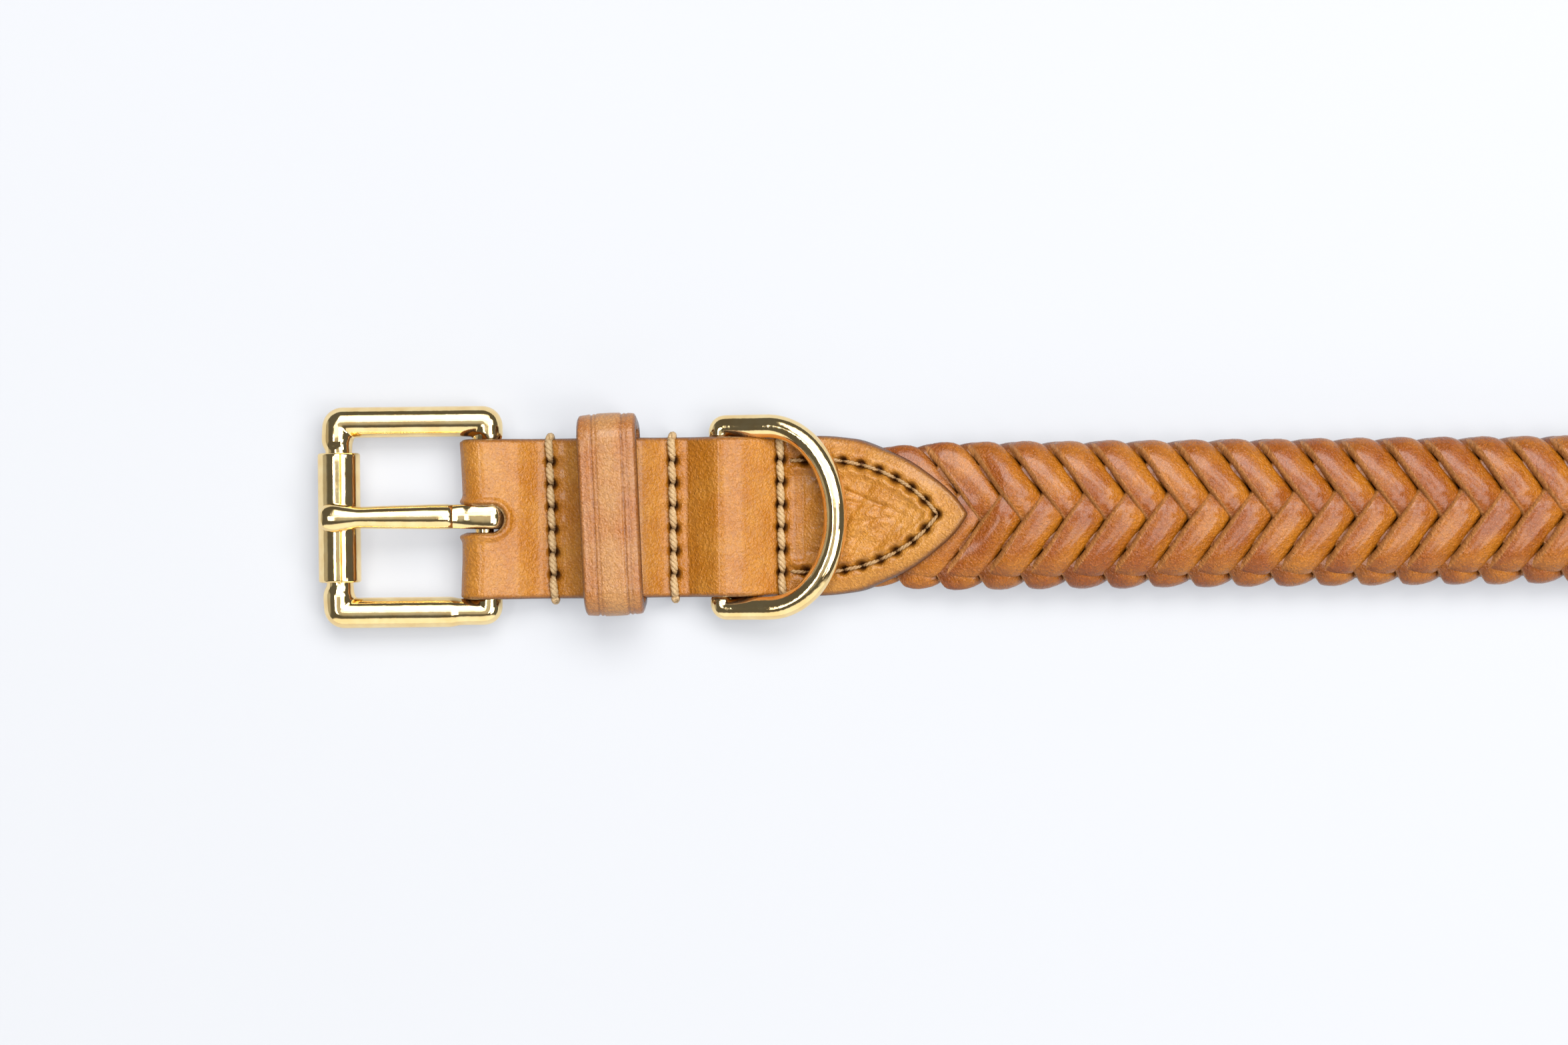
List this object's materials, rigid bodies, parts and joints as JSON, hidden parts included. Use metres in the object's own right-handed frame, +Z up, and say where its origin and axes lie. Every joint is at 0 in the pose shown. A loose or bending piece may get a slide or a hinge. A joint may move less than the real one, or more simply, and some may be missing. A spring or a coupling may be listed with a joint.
{
  "type": "plaited leather belt strap",
  "caption": "Flat-lying plaited leather belt strap with a roller buckle, sliding keeper, D-ring, pointed stitched ends and a punched billet.",
  "frame": {"origin": "centre of the bounding box, on the surface the strap lies on", "axes": "+X along the strap from the buckle to the pointed end, +Z up from the surface, +Y across the strap"},
  "size_m": [0.575, 0.0348, 0.0129],
  "materials": {
    "brass": "polished",
    "strap_leather": "smooth satin",
    "plait_leather": "satin, fine grain",
    "core_cord": "raw",
    "thread": "waxed"
  },
  "bodies": {
    "chape": {"chape_strap": "strap_leather", "stitch_row_1": "thread", "stitch_row_2": "thread", "stitch_row_3": "thread", "v_stitching_front": "thread", "plait_cover_0": "plait_leather", "plait_core_0": "core_cord"},
    "buckle": {"buckle_frame": "brass"},
    "roller": {"roller": "brass"},
    "prong": {"prong": "brass"},
    "keeper": {"keeper": "strap_leather", "keeper_seam": "thread"},
    "ring": {"d_ring": "brass"},
    "plait_1": {"plait_cover_1": "plait_leather", "plait_core_1": "core_cord"},
    "plait_2": {"plait_cover_2": "plait_leather", "plait_core_2": "core_cord"},
    "plait_3": {"plait_cover_3": "plait_leather", "plait_core_3": "core_cord"},
    "plait_4": {"plait_cover_4": "plait_leather", "plait_core_4": "core_cord"},
    "plait_5": {"plait_cover_5": "plait_leather", "plait_core_5": "core_cord"},
    "billet_join": {"plait_cover_6": "plait_leather", "plait_core_6": "core_cord", "billet_root": "strap_leather", "backing": "strap_leather", "stitch_row_4": "thread", "stitch_row_5": "thread", "v_stitching_far": "thread"},
    "billet_1": {"billet_1": "strap_leather"},
    "billet_2": {"billet_2": "strap_leather"},
    "billet_3": {"billet_3": "strap_leather"}
  },
  "joints": [
    {"name": "buckle_swing", "type": "hinge", "parent": "chape", "child": "buckle", "pos_m": [-0.2613, 0, 0.0038], "axis": [0, 1, 0], "range_deg": [0, 30]},
    {"name": "roller_spin", "type": "hinge", "parent": "buckle", "child": "roller", "pos_m": [-0.28415, 0, 0.0038], "axis": [0, 1, 0], "continuous": true},
    {"name": "prong_swing", "type": "hinge", "parent": "buckle", "child": "prong", "pos_m": [-0.2613, 0, 0.0038], "axis": [0, 1, 0], "range_deg": [0, 68]},
    {"name": "keeper_slide", "type": "slide", "parent": "chape", "child": "keeper", "axis": [1, 0, 0], "range_m": [-0.0009, 0.0027]},
    {"name": "ring_flip", "type": "hinge", "parent": "chape", "child": "ring", "pos_m": [-0.224, 0, 0.0038], "axis": [0, -1, 0], "range_deg": [0, 112]},
    {"name": "strap_bend_1", "type": "hinge", "parent": "chape", "child": "plait_1", "pos_m": [-0.1695, 0, 0.0045], "axis": [0, 1, 0], "range_deg": [-20, 30]},
    {"name": "strap_bend_2", "type": "hinge", "parent": "plait_1", "child": "plait_2", "pos_m": [-0.1295, 0, 0.0045], "axis": [0, 1, 0], "range_deg": [-20, 30]},
    {"name": "strap_bend_3", "type": "hinge", "parent": "plait_2", "child": "plait_3", "pos_m": [-0.0895, 0, 0.0045], "axis": [0, 1, 0], "range_deg": [-20, 30]},
    {"name": "strap_bend_4", "type": "hinge", "parent": "plait_3", "child": "plait_4", "pos_m": [-0.0495, 0, 0.0045], "axis": [0, 1, 0], "range_deg": [-20, 30]},
    {"name": "strap_bend_5", "type": "hinge", "parent": "plait_4", "child": "plait_5", "pos_m": [-0.0095, 0, 0.0045], "axis": [0, 1, 0], "range_deg": [-20, 30]},
    {"name": "strap_bend_6", "type": "hinge", "parent": "plait_5", "child": "billet_join", "pos_m": [0.0305, 0, 0.0045], "axis": [0, 1, 0], "range_deg": [-20, 30]},
    {"name": "strap_bend_7", "type": "hinge", "parent": "billet_join", "child": "billet_1", "pos_m": [0.1165, 0, 0.0015], "axis": [0, 1, 0], "range_deg": [-20, 30]},
    {"name": "strap_bend_8", "type": "hinge", "parent": "billet_1", "child": "billet_2", "pos_m": [0.1665, 0, 0.0015], "axis": [0, 1, 0], "range_deg": [-20, 30]},
    {"name": "strap_bend_9", "type": "hinge", "parent": "billet_2", "child": "billet_3", "pos_m": [0.2165, 0, 0.0015], "axis": [0, 1, 0], "range_deg": [-20, 30]}
  ]
}
